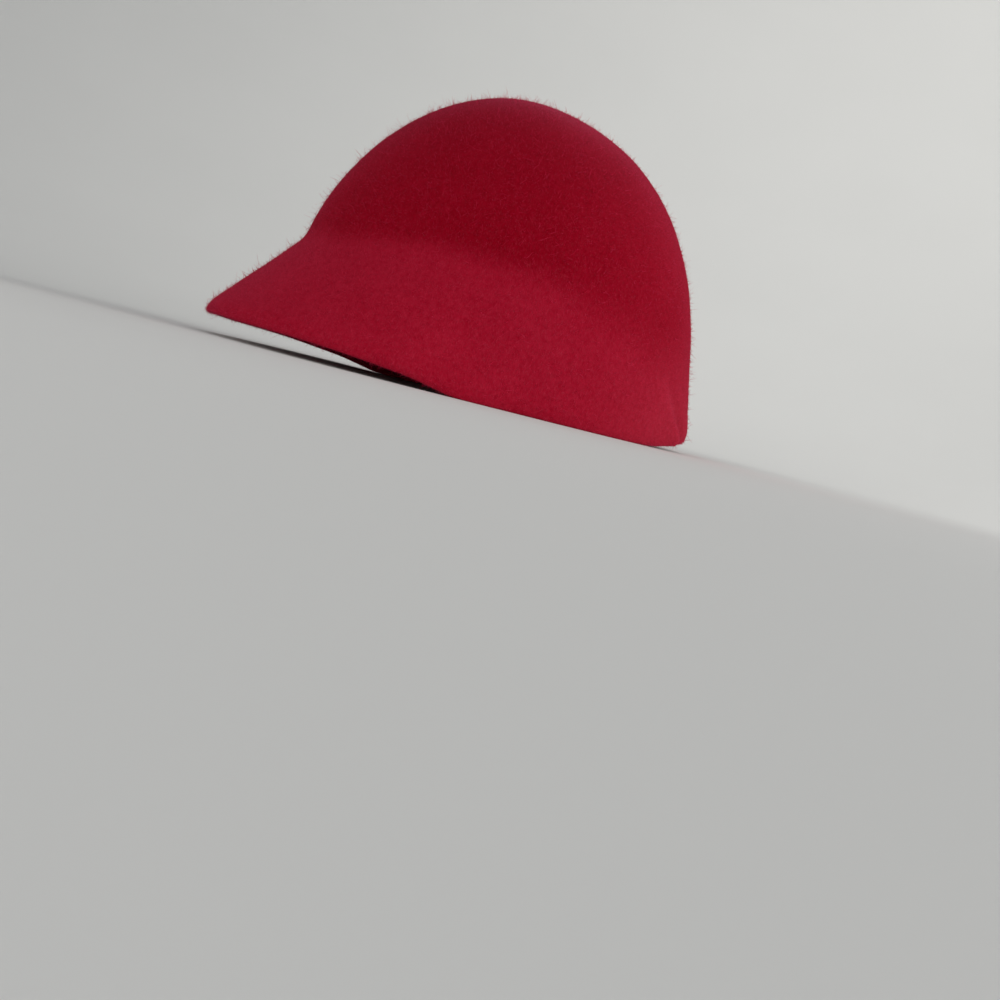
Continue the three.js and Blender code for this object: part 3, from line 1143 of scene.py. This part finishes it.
# %% Ribbon and thread
RIBBON_DARK = (0.15, 0.002, 0.008, 1)
RIBBON_LIGHT = (0.26, 0.004, 0.018, 1)
RIBBON_TONES_AND_RIB_SHADE = {"ribs": 0.5, "threads": 0.35, "wear": 0.3}  # how much each lightens the ribbon; the ribs' share is painted shade between them
RIBBON_PATCH = 9 * MM  # size of its worn patches
THREAD = (0.30, 0.006, 0.022, 1)
WARP = (0.3 * MM, 0.3 * MM, 0.12 * MM)  # size of the fine threads that cross the ribs
TWIST = (0.15 * MM, 0.15 * MM, 0.5 * MM)  # size of the fibres in the sewing thread
TWIST_TURN = (0.7, 0.4, 0)


def ribbon_finish():
    finish = Finish("grosgrain_ribbon")
    rib = finish.stored("along") * (2 * math.pi / RIB)
    crest = finish.math("COSINE", rib) * 0.5 + 0.5
    threads = finish.clouds(WARP, detail=1)
    wear = finish.clouds(RIBBON_PATCH)
    # Lighter on the crests of the ribs and darker between them: painted shade.
    tone = crest * RIBBON_TONES_AND_RIB_SHADE["ribs"] + threads * RIBBON_TONES_AND_RIB_SHADE["threads"] + wear * RIBBON_TONES_AND_RIB_SHADE["wear"]
    return finish.surface(
        Base_Color=finish.blend(tone.between(0.2, 0.95), RIBBON_DARK, RIBBON_LIGHT),
        Roughness=0.62 - crest * 0.1,
        Specular_IOR_Level=0.2,
        Normal=finish.bump(threads, depth=0.06 * MM, strength=0.7),
    )


def thread_finish():
    finish = Finish("sewing_thread")
    twist = finish.clouds(TWIST, TWIST_TURN, detail=1)
    return finish.surface(
        Base_Color=finish.blend(twist, RIBBON_DARK, THREAD),
        Roughness=0.5,
        Normal=finish.bump(twist, depth=0.05 * MM, strength=1.0),
    )


ribbon.data.materials.append(ribbon_finish())
stitches.data.materials.append(thread_finish())
print("ribbon and thread:", [piece.data.materials[0].name for piece in (ribbon, stitches)])

# %% [markdown]
# ## The room
#
# A pale floor curves up into a pale wall all around, so there is no hard horizon from any
# side. It could be a plane and a backdrop, but those end in view of some camera. This is one
# profile spun around an upright axis. The axis stands a little towards the camera, so the
# wall behind the cap is nearer than the others. The bowl is open above, where the light of
# the sky comes in.

# %% Floor and wall
PALE_PAINT = (0.72, 0.72, 0.70, 1)
DUSTY_PAINT = (0.6912, 0.6912, 0.672, 1)
PAINT_PATCH = 0.25
RIGHT = Vector((math.cos(CAMERA["turn"]), math.sin(CAMERA["turn"]), 0))
NEARER = Vector((math.sin(CAMERA["turn"]), -math.cos(CAMERA["turn"]), 0))
UP = Vector((0, 0, 1))
FLOOR_MIDDLE = 0.45 * NEARER
FLOOR_RINGS = [0.1, 0.3]
FLOOR_RADIUS = 0.9
BEND_RADIUS = 1.3
WALL_TOP = 1.6
BEND_STEPS = 24
FLOOR_SIDES = 96


def floor_profile():
    """Flat floor, then an arc up into an upright wall: pairs of distance out and height."""
    bend = np.linspace(0, math.pi / 2, BEND_STEPS)
    arc = [(FLOOR_RADIUS + BEND_RADIUS * math.sin(a), BEND_RADIUS * (1 - math.cos(a))) for a in bend]
    rings = [(radius, 0) for radius in FLOOR_RINGS]
    return [*rings, *arc, (FLOOR_RADIUS + BEND_RADIUS, WALL_TOP)]


def add_floor():
    profile = floor_profile()
    turns = np.linspace(0, 2 * math.pi, FLOOR_SIDES, endpoint=False)
    points = [(0, 0, 0)] + [(r * math.cos(a), r * math.sin(a), z) for a in turns for r, z in profile]
    n = len(profile)
    faces = []
    for i in range(FLOOR_SIDES):
        here, there = 1 + i * n, 1 + (i + 1) % FLOOR_SIDES * n
        faces.append((0, here, there))
        faces += [(here + j, here + j + 1, there + j + 1, there + j) for j in range(n - 1)]
    mesh = bpy.data.meshes.new("floor")
    mesh.from_pydata(points, [], faces)
    mesh.shade_smooth()
    floor = bpy.data.objects.new("floor", mesh)
    floor.location = FLOOR_MIDDLE
    bpy.context.scene.collection.objects.link(floor)
    paint = Finish("pale_paint")
    shade = paint.blend(paint.clouds(PAINT_PATCH), DUSTY_PAINT, PALE_PAINT)
    floor.data.materials.append(paint.surface(Base_Color=shade, Roughness=0.9, Specular_IOR_Level=0.1))
    return floor


floor = add_floor()
print("floor and wall:", triangles(floor), "triangles")

# %% [markdown]
# ## Light
#
# Three soft windows stand around the cap, a little above its crown: on the right, near right and
# near left. The right side of the cap gets more than the left, which shapes the crown. A sun
# or point light would draw hard shadows; large area lights don't. Their spread is narrowed,
# as by a deep window frame, so that the floor in front of them doesn't glare. A fourth light
# brightens only the wall behind, more to the right, and the sky adds a weak light all over.

# %% Lights
CAP_MIDDLE = Vector((0, 0, 80 * MM))
DAYLIGHT = (1.0, 0.99, 0.97)


def add_light(name, place, size, power, aim=CAP_MIDDLE, spread=180):
    data = bpy.data.lights.new(name, "AREA")
    data.shape = "RECTANGLE"
    data.size, data.size_y = size
    data.energy = power
    data.color = DAYLIGHT
    data.spread = math.radians(spread)
    light = bpy.data.objects.new(name, data)
    bpy.context.scene.collection.objects.link(light)
    light.visible_camera = False
    ahead = (aim - place).to_track_quat("-Z", "Y").to_matrix().to_4x4()
    light.matrix_world = Matrix.Translation(place) @ ahead
    return light


WINDOW = (0.9, 0.6)
WINDOW_SPREAD = 100  # degrees
WALL_SPOT = 0.8 * RIGHT - 1.5 * NEARER + 0.9 * UP  # the middle of the lit part of the wall
WINDOWS = {
    "window_right": {"place": 1.25 * RIGHT + 0.1 * NEARER + 0.35 * UP, "power": 2.9},
    "window_near_right": {"place": 1.0 * RIGHT + 0.9 * NEARER + 0.35 * UP, "power": 1.6},
    "window_near_left": {"place": -0.9 * RIGHT + 1.0 * NEARER + 0.35 * UP, "power": 2.4},
}
for name, window in WINDOWS.items():
    add_light(name, window["place"], WINDOW, window["power"], spread=WINDOW_SPREAD)
add_light("wall_light", 0.5 * RIGHT - 0.4 * NEARER + 1.4 * UP, (1.2, 1.0), 10.2, aim=WALL_SPOT)
lights = [o for o in bpy.context.scene.objects if o.type == "LIGHT"]
print("lights:", [(light.name, round(light.data.energy, 1)) for light in lights])

# %% Sky and tones
SKY_COLOUR = (0.93, 0.95, 1.0, 1)
SKY_STRENGTH = 0.4

scene = bpy.context.scene
scene.view_settings.view_transform = "Standard"
scene.world = bpy.data.worlds.new("room_light")
scene.world.use_nodes = True
sky = scene.world.node_tree.nodes["Background"]
sky.inputs["Color"].default_value = SKY_COLOUR
sky.inputs["Strength"].default_value = SKY_STRENGTH
print("sky:", scene.world.name, SKY_STRENGTH)

# %% [markdown]
# ## Measure and finish
#
# The visible cap has to stay within the imported model's box, apart from fibres that stand a
# few millimetres proud. The imported model's box is printed.

# %% Sizes
print("packed box", [round(v, 4) for v in (*cad_low, *cad_high)])
